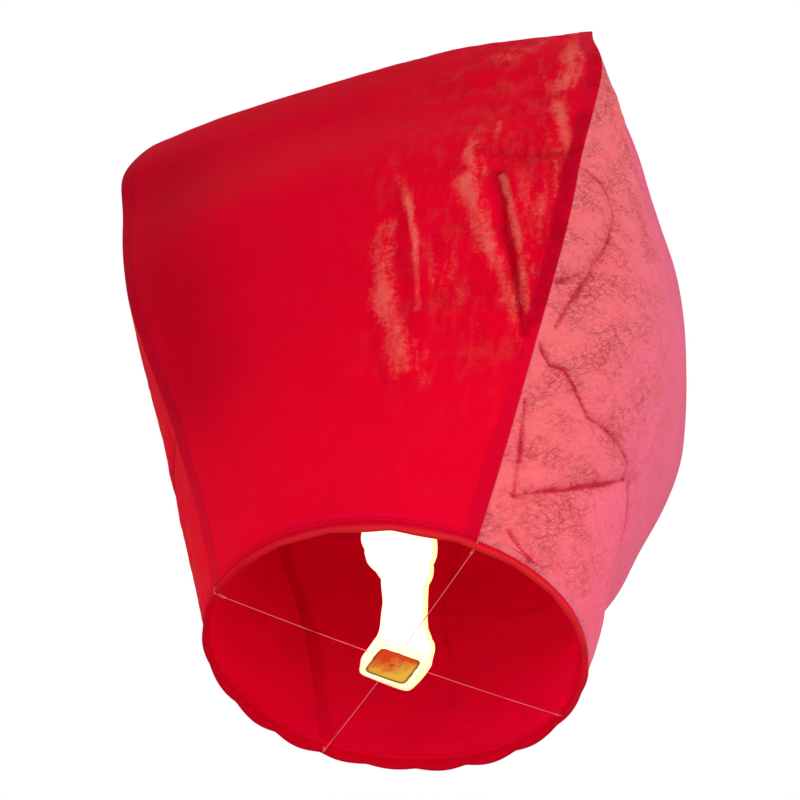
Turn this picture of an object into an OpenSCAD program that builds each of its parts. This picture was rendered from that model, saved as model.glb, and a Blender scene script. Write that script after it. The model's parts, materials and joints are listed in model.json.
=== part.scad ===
// Sky lantern: a bag of four glued paper panels on a bamboo hoop. Two crossed wires hang below the
// mouth and carry a stack of waxed paper sheets. The origin is the hoop's centre, +Z runs up to the
// ridge, and the ridge seam runs along X. Sizes are in millimetres.

/* [Bag] */
// Height of the ridge seam's top above the hoop's centre
bag_h = 990; // [900:5:1080]
// Length of the ridge seam
ridge_w = 560; // [480:5:600]
// Height of the glued ridge seam
ridge_h = 10; // [6:1:15]
// Thickness of the glued ridge seam
ridge_t = 2; // [1.8:0.1:3]
// Lean of the ridge along X, at its full height
lean_x = -114; // [-140:2:140]
// How far the middle of the bag is blown along Y
billow_y = 64; // [0:2:80]
// Thickness of a paper panel
sheet_t = 0.5; // [0.4:0.1:0.8]
// Height of the hem that is turned up inside the hoop
hem_h = 14; // [10:1:20]

/* [Width between the corner seams] */
// Width a quarter of the way up
width_quarter = 398; // [360:2:430]
// Width halfway up
width_half = 552; // [500:2:580]
// Width three quarters of the way up
width_high = 622; // [580:2:640]
// Width just below the ridge
width_top = 586; // [550:2:600]

/* [Depth between the corner seams] */
// Depth a quarter of the way up
depth_quarter = 346; // [300:2:380]
// Depth halfway up
depth_half = 426; // [380:2:450]
// Depth three quarters of the way up
depth_high = 338; // [280:2:360]
// Depth just below the ridge
depth_top = 188; // [150:2:210]

/* [Bulge of the front and back panels] */
// Bulge a quarter of the way up
face_bulge_quarter = 60; // [40:1:80]
// Bulge halfway up
face_bulge_half = 70; // [40:1:80]
// Bulge three quarters of the way up
face_bulge_high = 26; // [10:1:50]
// Bulge just below the ridge
face_bulge_top = 28; // [10:1:40]

/* [Bulge of the side panels] */
// Bulge a quarter of the way up
side_bulge_quarter = 52; // [40:1:70]
// Bulge halfway up
side_bulge_half = 33; // [10:1:50]
// Bulge three quarters of the way up, below zero where the side tucks in
side_bulge_high = -2; // [-30:1:20]
// Bulge just below the ridge, below zero where the side tucks in
side_bulge_top = -35; // [-50:1:-10]

/* [Hoop] */
// Outer diameter of the bamboo hoop
hoop_d = 380; // [360:5:400]
// Thickness of the bamboo strip
hoop_t = 2.5; // [2:0.1:3]
// Width of the bamboo strip
hoop_w = 5; // [4:0.5:8]
// Angle at which the strip's two ends are cut to lap over each other
scarf_angle = 8; // [8:0.5:12]
// Width of a thread binding on the lap
binding_w = 4; // [3:0.5:6]
// Thickness of a thread binding
binding_t = 0.2; // [0.1:0.05:0.25]

/* [Wires] */
// Diameter of the two crossed wires
wire_d = 0.9; // [0.7:0.1:1]
// How far the wires dip from the hoop to the fuel cell
wire_dip = 9; // [8:1:25]
// Diameter of the tie wire through the fuel cell
tie_d = 0.7; // [0.5:0.1:0.8]

/* [Fuel cell] */
// Side of a waxed sheet
cell_w = 52; // [44:1:64]
// Thickness of a waxed sheet
cell_t = 1.3; // [1:0.1:1.6]
// Diameter of the hole that the tie wire passes through
cell_hole_d = 5; // [5:0.5:8]

/* [Hidden] */
$fn = 64;

fit_gap = 0.3;             // clearance between the paper and the bamboo, and round a moving piece
stack_gap = 0.05;          // air between two waxed sheets
wire_gap = 0.3;            // air round a wire where it passes the hem
columns = 18;              // facets across a panel
rows = 20;                 // facets up a panel, above the hoop
tilt_step = 1.5;           // turn of a waxed sheet against the next, in degrees

hoop_r = hoop_d / 2;
hoop_mid_r = hoop_r - hoop_t / 2;
mouth_r = hoop_r + fit_gap + sheet_t;
mouth_half = mouth_r / sqrt(2);
mouth_bulge = mouth_r - mouth_half;
flare_z = hoop_w / 2 + fit_gap;                  // the bag stands straight round the hoop up to here
panel_top = bag_h - ridge_h - fit_gap;
wrap = sheet_t + 2 * fit_gap + hoop_t;           // from the bag's outside to the hem's bamboo side

// Shape of the bag: each list gives one size at these fractions of the height
levels = [0, 0.25, 0.5, 0.75, 0.9, 1];
half_widths = [mouth_half, width_quarter / 2, width_half / 2, width_high / 2, width_top / 2, ridge_w / 2];
half_depths = [mouth_half, depth_quarter / 2, depth_half / 2, depth_high / 2, depth_top / 2, ridge_t / 2];
face_bulges = [mouth_bulge, face_bulge_quarter, face_bulge_half, face_bulge_high, face_bulge_top, 0];
side_bulges = [mouth_bulge, side_bulge_quarter, side_bulge_half, side_bulge_high, side_bulge_top, 0];

// A smooth curve through a list of sizes, with no overshoot between two of them
function rise(v, i) = (v[i + 1] - v[i]) / (levels[i + 1] - levels[i]);
function slope(v, i) =
    i == 0 ? rise(v, 0)
    : i == len(v) - 1 ? rise(v, i - 1)
    : rise(v, i - 1) * rise(v, i) <= 0 ? 0
    : 2 / (1 / rise(v, i - 1) + 1 / rise(v, i));
function span_of(s, i = 0) = i == len(levels) - 2 || s <= levels[i + 1] ? i : span_of(s, i + 1);
function size_at(v, s) =
    let (i = span_of(s), h = levels[i + 1] - levels[i], u = (s - levels[i]) / h)
    v[i] * (1 + 2 * u) * pow(1 - u, 2) + v[i + 1] * pow(u, 2) * (3 - 2 * u)
    + h * slope(v, i) * u * pow(1 - u, 2) - h * slope(v, i + 1) * pow(u, 2) * (1 - u);

// A circular arc over a chord of half length c with bulge b, where t runs from -1 to 1
function arc_point(c, b, t) =
    abs(b) < 0.01 ? [c * t, 0]
    : let (r = (c * c + b * b) / (2 * b), a = asin(c / r) * t) [r * sin(a), r * cos(a) - r + b];

// Four panels, numbered 0 front, 1 right, 2 back and 3 left; inset is measured in from the bag's outside
function bag_point(panel, s, inset, t) =
    let (
        w = size_at(half_widths, s) - inset,
        d = size_at(half_depths, s) - inset,
        on_face = panel % 2 == 0,
        p = on_face ? arc_point(w, size_at(face_bulges, s), t) : arc_point(d, size_at(side_bulges, s), t),
        out = p[1] + (on_face ? d : w),
        turn = panel * 90 - 90
    )
    [
        out * cos(turn) - p[0] * sin(turn) + lean_x * s,
        out * sin(turn) + p[0] * cos(turn) + 4 * billow_y * s * (1 - s)
    ];
// Round the hoop, the hem's outer facets touch their circle from outside and so clear the round bamboo
function hoop_point(panel, inset, t) =
    let (a = panel * 90 - 90 + 45 * t, r = mouth_r - inset)
    (inset < hoop_t ? r / cos(45 / columns) : r) * [cos(a), sin(a)];
function sheet_row(panel, z, inset) = [
    for (j = [0 : columns])
        let (
            t = 2 * j / columns - 1,
            p = z <= flare_z ? hoop_point(panel, inset, t)
                : bag_point(panel, (z - flare_z) / (panel_top - flare_z), inset, t)
        )
        [p[0], p[1], z]
];

// Each level of a panel: height and inset of its outside, then of its inside. The first four turn the hem
// up round the hoop, and the rest climb the bag.
hem_low = hoop_w / 2 + fit_gap;
panel_levels = concat(
    [
        [hem_h, 2 * sheet_t + fit_gap, hem_h, sheet_t + fit_gap],
        [flare_z, wrap + sheet_t, flare_z, wrap],
        [-hem_low - sheet_t, wrap + sheet_t, -hem_low, wrap],
        [-hem_low - sheet_t, 0, -hem_low, sheet_t]
    ],
    [for (i = [0 : rows]) let (z = flare_z + (panel_top - flare_z) * i / rows) [z, 0, z, sheet_t]]
);

module paper_panel(panel) {
    n = columns + 1;
    m = len(panel_levels);
    outside = [for (l = panel_levels) each sheet_row(panel, l[0], l[1])];
    inside = [for (l = panel_levels) each sheet_row(panel, l[2], l[3])];
    back = n * m;                                // index of the first point on the inside
    function quad(a, b, c, d) = [[a, b, c], [a, c, d]];
    faces = concat(
        [for (i = [0 : m - 2], j = [0 : columns - 1]) let (k = i * n + j) each quad(k, k + n, k + n + 1, k + 1)],
        [for (i = [0 : m - 2], j = [0 : columns - 1])
            let (k = back + i * n + j) each quad(k, k + 1, k + n + 1, k + n)],
        [for (i = [0 : m - 2]) let (k = i * n) each quad(k, k + back, k + back + n, k + n)],
        [for (i = [0 : m - 2]) let (k = i * n + columns) each quad(k, k + n, k + n + back, k + back)],
        [for (j = [0 : columns - 1]) each quad(j, j + 1, j + 1 + back, j + back)],
        [for (j = [0 : columns - 1]) let (k = (m - 1) * n + j) each quad(k, k + back, k + back + 1, k + 1)]
    );
    polyhedron(points = concat(outside, inside), faces = faces);
}

module ridge_seam() {
    color("firebrick")
    translate([lean_x - ridge_w / 2, -ridge_t / 2, bag_h - ridge_h])
        cube([ridge_w, ridge_t, ridge_h]);
}

module hoop_section(grow) {
    translate([hoop_r - hoop_t - grow, -hoop_w / 2 - grow])
        square([hoop_t + 2 * grow, hoop_w + 2 * grow]);
}

// A flat bamboo strip bent to a hoop; its ends are cut at a slant and lap on the -X side
module bamboo_hoop() {
    saw_cut = 0.2;
    saw_reach = 60;
    color("burlywood")
    difference() {
        rotate_extrude($fn = 128) hoop_section(0);
        translate([-hoop_mid_r, 0, 0]) rotate([0, 0, scarf_angle])
            cube([saw_cut, saw_reach, hoop_w + 2], center = true);
    }
}

module hoop_binding(side) {
    lap_turn = 3.5;                              // degrees from the middle of the lap to a binding
    sweep = binding_w / hoop_mid_r * 180 / PI;
    color("beige")
    rotate([0, 0, 180 + side * lap_turn - sweep / 2])
        rotate_extrude(angle = sweep, $fn = 128) difference() {
            hoop_section(binding_t);
            hoop_section(0);
        }
}

module rod(a, b, d) {
    v = b - a;
    translate(a) rotate([0, acos(v[2] / norm(v)), atan2(v[1], v[0])])
        cylinder(h = norm(v), d = d, $fn = 24);
}

function unit(v) = v / norm(v);

// Cuts each corner of a path back by c on both sides
function soften(path, c) = concat(
    [path[0]],
    [for (i = [1 : len(path) - 2])
        each [path[i] + c * unit(path[i - 1] - path[i]), path[i] + c * unit(path[i + 1] - path[i])]],
    [path[len(path) - 1]]
);

// A wire bent to follow a path that lies in the XZ plane
module bent_wire(path, d) {
    sides = 8;
    last = len(path) - 1;
    rings = [
        for (i = [0 : last])
            let (
                before = unit(path[max(i, 1)] - path[max(i, 1) - 1]),
                after = unit(path[min(i, last - 1) + 1] - path[min(i, last - 1)]),
                along = unit(before + after),
                across = cross([0, 1, 0], along) / (along * before)
            )
            for (k = [0 : sides - 1])
                path[i] + d / 2 * (cos(360 * k / sides) * [0, 1, 0] + sin(360 * k / sides) * across)
    ];
    walls = [
        for (i = [0 : last - 1], k = [0 : sides - 1])
            let (a = i * sides + k, b = i * sides + (k + 1) % sides)
            each [[a, a + sides, b + sides], [a, b + sides, b]]
    ];
    ends = [[for (k = [0 : sides - 1]) k], [for (k = [sides - 1 : -1 : 0]) last * sides + k]];
    polyhedron(points = rings, faces = concat(walls, ends));
}

// A wire across the mouth: a hook round the hoop and its hem at each end, and a flat stretch inside the
// fuel cell
module cross_wire(turn, z) {
    flat_half = cell_w / 2 + 4;
    hook_x = hoop_t / 2 + fit_gap + sheet_t + wire_gap + wire_d / 2;
    hook_z = hoop_w / 2 + fit_gap + sheet_t + wire_gap + wire_d / 2;
    tip_z = 1.5 * wire_d - hook_z;
    hook = [
        for (c = [[-hook_x, tip_z], [-hook_x, hook_z], [hook_x, hook_z], [hook_x, -hook_z], [-hook_x, -hook_z]])
            [hoop_mid_r + c[0], 0, c[1]]
    ];
    far_hook = [for (i = [len(hook) - 1 : -1 : 0]) [-hook[i][0], 0, hook[i][2]]];
    color("gray")
    rotate([0, 0, turn])
        bent_wire(soften(concat(hook, [[flat_half, 0, z], [-flat_half, 0, z]], far_hook), wire_d / 2), wire_d);
}

// The stack is four sheets below the wires and four above them
wire_room = 2 * wire_d + 0.3;
sheet_pitch = cell_t + stack_gap;
function sheet_z(i) =
    i <= 4 ? -wire_dip - wire_room / 2 - (4 - i) * sheet_pitch - cell_t
    : -wire_dip + wire_room / 2 + (i - 5) * sheet_pitch;

module fuel_sheet(i) {
    color("wheat")
    translate([0, 0, sheet_z(i)]) rotate([0, 0, 45 + tilt_step * (i % 3 - 1)])
        linear_extrude(cell_t) difference() {
            square(cell_w, center = true);
            circle(d = cell_hole_d, $fn = 32);
        }
}

// A bent wire that ties the stack to the crossing: a bar on top, two legs and a twisted tail below
module cell_tie() {
    leg_x = 1.6;
    bar_x = 9;
    tail_x = 7;
    tail_drop = 3;
    top = sheet_z(8) + cell_t + tie_d / 2 + stack_gap;
    low = sheet_z(1) - tie_d / 2 - stack_gap;
    color("dimgray") {
        rod([-bar_x, 0, top], [bar_x, 0, top], tie_d);
        for (side = [-1, 1]) rod([side * leg_x, 0, low], [side * leg_x, 0, top], tie_d);
        rod([-leg_x, 0, low], [leg_x, 0, low], tie_d);
        for (side = [-1, 1]) translate([side * leg_x, 0, low]) sphere(d = tie_d, $fn = 24);
        rod([0, 0, low], [tail_x, 0, low - tail_drop], 2 * tie_d);
    }
}

color("crimson") paper_panel(0);  // front_panel
color("palevioletred") paper_panel(1);  // right_panel
color("crimson") paper_panel(2);  // back_panel
color("palevioletred") paper_panel(3);  // left_panel
ridge_seam();
bamboo_hoop();
hoop_binding(-1);  // hoop_binding_a
hoop_binding(1);  // hoop_binding_b
cross_wire(45, -wire_dip + (wire_d + stack_gap) / 2);  // cross_wire_a
cross_wire(-45, -wire_dip - (wire_d + stack_gap) / 2);  // cross_wire_b
fuel_sheet(1);  // fuel_sheet_1
fuel_sheet(2);  // fuel_sheet_2
fuel_sheet(3);  // fuel_sheet_3
fuel_sheet(4);  // fuel_sheet_4
fuel_sheet(5);  // fuel_sheet_5
fuel_sheet(6);  // fuel_sheet_6
fuel_sheet(7);  // fuel_sheet_7
fuel_sheet(8);  // fuel_sheet_8
cell_tie();
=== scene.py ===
import json
import math

import bmesh
import bpy
import numpy as np
from mathutils import Matrix, Quaternion, Vector, noise


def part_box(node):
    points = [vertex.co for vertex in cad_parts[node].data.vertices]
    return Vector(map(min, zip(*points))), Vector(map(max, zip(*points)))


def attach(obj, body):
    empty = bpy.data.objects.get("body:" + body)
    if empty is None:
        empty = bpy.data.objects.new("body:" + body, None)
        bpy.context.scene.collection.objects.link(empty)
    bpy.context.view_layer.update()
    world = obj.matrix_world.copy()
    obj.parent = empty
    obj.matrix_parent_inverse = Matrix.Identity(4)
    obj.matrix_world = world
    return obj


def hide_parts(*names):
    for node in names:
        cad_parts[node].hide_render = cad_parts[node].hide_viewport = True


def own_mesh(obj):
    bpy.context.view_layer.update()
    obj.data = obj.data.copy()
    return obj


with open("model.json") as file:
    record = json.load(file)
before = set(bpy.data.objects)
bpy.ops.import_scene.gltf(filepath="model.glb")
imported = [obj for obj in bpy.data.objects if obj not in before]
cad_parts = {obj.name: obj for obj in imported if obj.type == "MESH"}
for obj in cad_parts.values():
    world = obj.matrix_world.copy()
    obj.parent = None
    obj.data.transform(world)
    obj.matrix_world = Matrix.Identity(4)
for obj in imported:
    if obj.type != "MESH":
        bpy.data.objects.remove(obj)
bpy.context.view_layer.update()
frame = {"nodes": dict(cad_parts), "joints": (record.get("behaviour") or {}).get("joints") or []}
scene = bpy.context.scene
print("stage: frame loaded")

# Camera
cameraView = {
    "distance": 2.0,  # from the hoop's centre
    "below": 37.75,  # degrees under the hoop's plane
    "round": 25.7,  # degrees from -Y towards +X
    "aim": (-0.071, 0.0765, 0.452),
    "roll": 7.9,
    "lens": 90.2,
}


def makeCamera(c):
    a, e = math.radians(c["round"]), math.radians(c["below"])
    data = bpy.data.cameras.new("camera")
    data.lens = c["lens"]
    data.sensor_width = 36
    camera = bpy.data.objects.new("camera", data)
    scene.collection.objects.link(camera)
    camera.location = c["distance"] * Vector(
        (math.sin(a) * math.cos(e), -math.cos(a) * math.cos(e), -math.sin(e))
    )
    ahead = (Vector(c["aim"]) - camera.location).to_track_quat("-Z", "Y")
    camera.rotation_mode = "QUATERNION"
    camera.rotation_quaternion = ahead @ Quaternion((0, 0, 1), math.radians(c["roll"]))
    scene.camera = camera


makeCamera(cameraView)
print("stage: camera")


class Value:
    # a node socket that can stand in a sum

    def __init__(self, tree, socket):
        self.tree = tree
        self.socket = socket

    def math(self, operation, *others):
        return makeNode(self.tree, "ShaderNodeMath", {"operation": operation}, [self, *others])

    def __add__(self, other):
        return self.math("ADD", other)

    __radd__ = __add__

    def __sub__(self, other):
        return self.math("SUBTRACT", other)

    def __rsub__(self, other):
        return makeNode(self.tree, "ShaderNodeMath", {"operation": "SUBTRACT"}, [other, self])

    def __mul__(self, other):
        return self.math("MULTIPLY", other)

    __rmul__ = __mul__

    def __truediv__(self, other):
        return self.math("DIVIDE", other)

    def __pow__(self, other):
        return self.math("POWER", other)

    def axis(self, number):
        return makeNode(self.tree, "ShaderNodeSeparateXYZ", {}, [self], out=number)

    def between(self, low, high):
        # 0 at low, 1 at high, smooth in between
        return makeNode(
            self.tree,
            "ShaderNodeMapRange",
            {"interpolation_type": "SMOOTHSTEP"},
            {"Value": self, "From Min": low, "From Max": high},
        )


def makeNode(tree, kind, settings=None, inputs=(), out=0):
    # one node of any type: settings first, then the values or links of its sockets
    node = tree.nodes.new(kind)
    for name, value in (settings or {}).items():
        if name == "stops":
            ramp = node.color_ramp
            for at, colour in value[1:-1]:
                ramp.elements.new(at)
            for element, (at, colour) in zip(ramp.elements, value):
                element.position = at
                element.color = (*colour, 1)
        else:
            setattr(node, name, value)
    pairs = inputs.items() if isinstance(inputs, dict) else enumerate(inputs)
    for name, value in pairs:
        socket = node.inputs[name]
        if isinstance(value, Value):
            tree.links.new(value.socket, socket)
        elif value is not None:
            if hasattr(socket.default_value, "__len__") and len(value) < len(socket.default_value):
                value = (*value, 1)
            socket.default_value = value
    return Value(tree, node.outputs[out]) if len(node.outputs) else node


def mixColours(tree, factor, a, b, blend="MIX"):
    return makeNode(
        tree,
        "ShaderNodeMix",
        {"data_type": "RGBA", "blend_type": blend},
        {0: factor, 6: a, 7: b},
        out=2,
    )


def newMaterial(name):
    material = bpy.data.materials.new(name)
    material.use_nodes = True
    tree = material.node_tree
    tree.nodes.clear()
    return material, tree


def finishMaterial(tree, surface):
    makeNode(tree, "ShaderNodeOutputMaterial", {}, {"Surface": surface})


def finishSurface(tree, inputs):
    finishMaterial(tree, makeNode(tree, "ShaderNodeBsdfPrincipled", {}, inputs))


def bumpFrom(tree, height, distance, strength):
    inputs = {"Strength": strength, "Distance": distance, "Height": height}
    return makeNode(tree, "ShaderNodeBump", {}, inputs)


def objectPlace(tree, scale=(1, 1, 1), turn=0):
    # the object's own coordinates, turned about X in degrees and then scaled
    place = makeNode(tree, "ShaderNodeTexCoord", out=3)
    if turn:
        place = makeNode(
            tree, "ShaderNodeMapping", {}, {"Vector": place, "Rotation": (math.radians(turn), 0, 0)}
        )
    return makeNode(tree, "ShaderNodeMapping", {}, {"Vector": place, "Scale": scale})


def fractal(tree, place, scale, detail=4, roughness=0.55, distortion=0.0):
    return makeNode(
        tree,
        "ShaderNodeTexNoise",
        {},
        {
            "Vector": place,
            "Scale": scale,
            "Detail": detail,
            "Roughness": roughness,
            "Distortion": distortion,
        },
    )


def attribute(tree, name):
    return makeNode(tree, "ShaderNodeAttribute", {"attribute_name": name}, out=2)


# Materials
paper = {
    "colour": (0.815, 0.0008, 0.0300),
    "deep": (0.36, 0.0002, 0.0130),
    "warm": (0.88, 0.222, 0.240),  # painted light: the lit right side, beside the front panel
    "cool": (0.86, 0.216, 0.375),  # painted light: the lit right side, cooler towards the back where it turns away
    # painted light and shade: the lit right side where the shade terms darken it
    "sideLightDeep": (0.46, 0.024, 0.060),
    # painted highlight on raised crumples and streaks of the red paper
    "worn": (0.90, 0.165, 0.130),
    "cream": (0.93, 0.36, 0.34),  # painted highlight on the high spots of the crumpled side
    # painted highlight along the hem's lip
    "lip": (0.92, 0.055, 0.050),
    # painted light on the inner face: brighter down by the mouth, darker up inside the bag
    "insideFoot": (0.99, 0.0030, 0.085),
    "insideTop": (0.90, 0.0090, 0.125),
    "through": (0.95, 0.020, 0.140),
    "letsThrough": 0.46,
    "roughness": 0.55,
    "gloss": 0.01,
    "grain": 0.0012,
    # sizes of the patterns, higher for finer
    "cloudSize": 9,
    "patchSize": 20,
    "fibreSize": 150,
    "streakSize": 75,
    "wrinkleSize": 80,
    "wrinkleWidth": 0.10,
    "wrinkleStir": 2.2,
    # how much each darkens the paper: cloud and fibre are tone and grain, lap the doubled paper, and the
    # rest painted shade
    "cloudDark": 0.3,
    "fibreDark": 1.5,
    "wrinkleDark": 0.20,
    "patchDark": 1.6,
    "foldDark": 0.8,
    "lapDark": 0.30,
    "duskDark": 0.46,
    "haze": 0.32,  # painted sheen on the high spots of the crumpled red paper
}


def wrinkleLines(tree, place, gaps, scale, width):
    # thin broken creases between small facets, as in crumpled tissue; the material darkens them as painted
    # shade
    noiseInputs = {"Vector": place, "Scale": scale * 0.8, "Detail": 2}
    stir = makeNode(tree, "ShaderNodeTexNoise", {}, noiseInputs, out=1)
    shift = (paper["wrinkleStir"] / scale,) * 3
    stirred = makeNode(tree, "ShaderNodeVectorMath", {"operation": "MULTIPLY_ADD"}, [stir, shift, place])
    cells = {"Vector": stirred, "Scale": scale}
    edge = makeNode(tree, "ShaderNodeTexVoronoi", {"feature": "DISTANCE_TO_EDGE"}, cells)
    return (1 - edge.between(0.0, width)) * gaps.between(0.42, 0.6)


def paperMaterial(name, look):
    material, tree = newMaterial(name)
    place = objectPlace(tree)
    drawn = objectPlace(tree, (1, 0.65, 1.5), -45)  # features run along the pull of the creases
    upright = objectPlace(tree, (1, 1, 0.22))
    names = ("fold", "lap", "faded", "cool", "worn", "crumpled", "dusk", "lip", "inner")
    fold, lap, faded, cool, worn, crumpled, dusk, lip, inner = (attribute(tree, n) for n in names)
    z = place.axis(2)
    cloud = fractal(tree, place, look["cloudSize"], 2)
    patch = fractal(tree, drawn, look["patchSize"], 4, 0.62)
    fibre = fractal(tree, drawn, look["fibreSize"], 3, 0.7, 1.0)
    streak = fractal(tree, upright, look["streakSize"], 3, 0.62, 0.3)
    wrinkles = wrinkleLines(tree, drawn, patch, look["wrinkleSize"], look["wrinkleWidth"]) * crumpled
    grainShare = 0.10 + crumpled * 0.75 + faded * 0.15
    # tone, grain and doubled paper, with painted shade in wrinkles, crumple patches, creases and dusky
    # places
    shade = (cloud - 0.5) * look["cloudDark"] + (fibre - 0.5) * look["fibreDark"] * grainShare
    shade = shade + wrinkles * look["wrinkleDark"] + (patch - 0.48) * look["patchDark"] * crumpled
    shade = shade + fold * look["foldDark"] + lap * look["lapDark"] + dusk * look["duskDark"]
    deepness = shade.between(-0.30, 0.95)
    # painted light on the inner face: brighter down by the mouth, darker up inside the bag
    within = mixColours(tree, z.between(0.0, 0.35), look["insideFoot"], look["insideTop"])
    red = mixColours(tree, inner, look["colour"], within)
    red = mixColours(tree, deepness, red, look["deep"])
    red = mixColours(tree, lip, red, look["lip"])
    # painted light: the right side's outer face is paler, as if lit, warm beside the front and cooler
    # towards the back
    pale = mixColours(tree, cool, look["warm"], look["cool"])
    # painted highlight on the high spots of the crumpled side
    high = (patch - fibre * 0.3).between(0.30, 0.52) * crumpled * 0.55
    pale = mixColours(tree, high, pale, look["cream"])
    pale = mixColours(tree, deepness, pale, look["sideLightDeep"])
    # painted highlights along the raised crumples and streaks of the red paper
    glint = (worn * 1.25 + (streak - 0.5) * 1.9 + (fibre - 0.5) * 1.5).between(0.26, 1.45)
    glint = glint * worn.between(0.02, 0.3)
    # painted sheen on the high spots of the crumpled red paper
    haze = (streak * 0.6 + patch * 0.6 - 0.55).between(0.0, 0.28) * crumpled * (1 - inner)
    glint = glint.math("MAXIMUM", haze * look["haze"]) * (1 - lap) * (1 - wrinkles * 0.6)
    red = mixColours(tree, glint, red, look["worn"])
    # painted light: the lit colour goes on the right side's outer face
    colour = mixColours(tree, faded, red, pale)
    height = (fibre * 0.6 - wrinkles * 0.8) * grainShare + patch * crumpled
    bump = bumpFrom(tree, height, look["grain"], 0.8)
    rough = look["roughness"] + (fibre - 0.5) * 0.2 - worn * 0.1
    surface = {
        "Base Color": colour,
        "Roughness": rough,
        "IOR": 1.45,
        "Specular IOR Level": look["gloss"],
        "Coat Weight": faded * 0.10 + glint * 0.15,
        "Coat Roughness": 0.35,
        "Normal": bump,
    }
    front = makeNode(tree, "ShaderNodeBsdfPrincipled", {}, surface)
    passed = {"Color": look["through"], "Normal": bump}
    through = makeNode(tree, "ShaderNodeBsdfTranslucent", {}, passed)
    share = look["letsThrough"] * (1 - lap * 0.5)
    finishMaterial(tree, makeNode(tree, "ShaderNodeMixShader", {}, [share, front, through]))
    return material


bambooLook = {"colour": (0.62, 0.43, 0.20), "dark": (0.36, 0.21, 0.08), "roughness": 0.5}


def bambooMaterial(look):
    material, tree = newMaterial("bamboo")
    strands = fractal(tree, objectPlace(tree, (1, 1, 14)), 90, 5, 0.6)
    spots = fractal(tree, objectPlace(tree), 35, 3)
    darkness = (strands * 0.7 + spots * 0.3).between(0.35, 0.7)
    colour = mixColours(tree, darkness, look["colour"], look["dark"])
    bump = bumpFrom(tree, strands, 0.0002, 0.5)
    rough = look["roughness"] + strands * 0.2
    finishSurface(tree, {"Base Color": colour, "Roughness": rough, "Normal": bump})
    return material


threadLook = {"colour": (0.78, 0.70, 0.52), "dark": (0.50, 0.42, 0.28)}


def threadMaterial(look):
    material, tree = newMaterial("thread")
    twist = makeNode(
        tree,
        "ShaderNodeTexWave",
        {"bands_direction": "DIAGONAL"},
        {"Vector": objectPlace(tree), "Scale": 900, "Distortion": 0.6},
        out=1,
    )
    colour = mixColours(tree, twist, look["dark"], look["colour"])
    bump = bumpFrom(tree, twist, 0.0001, 0.6)
    finishSurface(tree, {"Base Color": colour, "Roughness": 0.75, "Sheen Weight": 0.3, "Normal": bump})
    return material


wireLook = {"colour": (0.90, 0.20, 0.22), "sooty": (0.50, 0.06, 0.07), "roughness": 0.3}


def wireMaterial(look):
    material, tree = newMaterial("steelWire")
    place = objectPlace(tree)
    soot = fractal(tree, place, 45, 4)
    scratch = fractal(tree, place, 900, 2)
    colour = mixColours(tree, soot.between(0.5, 0.72), look["colour"], look["sooty"])
    bump = bumpFrom(tree, scratch, 0.00005, 0.3)
    finishSurface(tree, {
        "Base Color": colour,
        "Metallic": 0.85,
        "Roughness": look["roughness"] + soot * 0.25,
        "Normal": bump,
    })
    return material


waxLook = {
    "wax": (0.74, 0.38, 0.030),
    "ember": (0.66, 0.050, 0.004),
    "char": (0.09, 0.020, 0.006),
    "waxGlow": (0.90, 0.52, 0.06),
    "emberGlow": (0.60, 0.04, 0.004),
    "roughness": 0.45,
}


def waxedPaperMaterial(look):
    material, tree = newMaterial("waxedPaper")
    place = objectPlace(tree)
    soak = fractal(tree, place, 38, 5, 0.6, 0.4)
    fleck = fractal(tree, place, 420, 4)
    x = place.axis(0)
    y = place.axis(1)
    # the wax is still pale at the far corner and browned at the near one
    browned = (y * -17 + x * 5 + (soak - 0.5) * 1.1).between(-0.22, 0.24)
    charred = attribute(tree, "rim").between(0.68, 0.84) * (0.55 + fleck * 0.6)
    charred = charred + fleck.between(0.6, 0.75) * 0.35
    colour = mixColours(tree, browned, look["wax"], look["ember"])
    colour = mixColours(tree, charred, colour, look["char"])
    # painted light: the wax sheets glow as if lit through by the flame, pale on the wax and red where it
    # has browned
    glow = mixColours(tree, browned, look["waxGlow"], look["emberGlow"])
    glow = mixColours(tree, charred, glow, look["char"])
    height = soak * 0.6 + fleck * 0.4
    bump = bumpFrom(tree, height, 0.0006, 0.8)
    finishSurface(tree, {
        "Base Color": colour,
        "Roughness": look["roughness"] + (fleck - 0.5) * 0.3,
        "Specular IOR Level": 0.08,
        "Emission Color": glow,
        "Emission Strength": 0.27,
        "Normal": bump,
    })
    return material


flameLook = {
    "core": (1.0, 0.93, 0.78),
    "foot": (0.56, 0.46, 0.27),
    "coreStrength": 1.8,
    "veil": (1.0, 0.84, 0.42),
    "veilRed": (1.0, 0.55, 0.40),
    "veilStrength": 0.95,
}


def flameCoreMaterial(look):
    material, tree = newMaterial("flameCore")
    place = objectPlace(tree)
    z = place.axis(2)
    lick = fractal(tree, objectPlace(tree, (1, 1, 0.35)), 22, 3)
    colour = mixColours(tree, (z + lick * 0.012).between(-0.016, 0.016), look["foot"], look["core"])
    finishSurface(tree, {
        "Base Color": colour,
        "Roughness": 1.0,
        "Specular IOR Level": 0.0,
        "Emission Color": colour,
        "Emission Strength": look["coreStrength"],
    })
    return material


def flameVeilMaterial(look):
    material, tree = newMaterial("flameVeil")
    place = objectPlace(tree)
    x = place.axis(0)
    lick = fractal(tree, objectPlace(tree, (1, 1, 0.3)), 30, 4, 0.6, 0.5)
    colour = mixColours(tree, (x + (lick - 0.5) * 0.05).between(-0.03, 0.02), look["veilRed"], look["veil"])
    finishSurface(tree, {
        "Base Color": colour,
        "Roughness": 1.0,
        "Specular IOR Level": 0.0,
        "Emission Color": colour,
        "Emission Strength": look["veilStrength"],
        "Alpha": 0.25 + lick * 0.5,
    })
    return material


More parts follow.
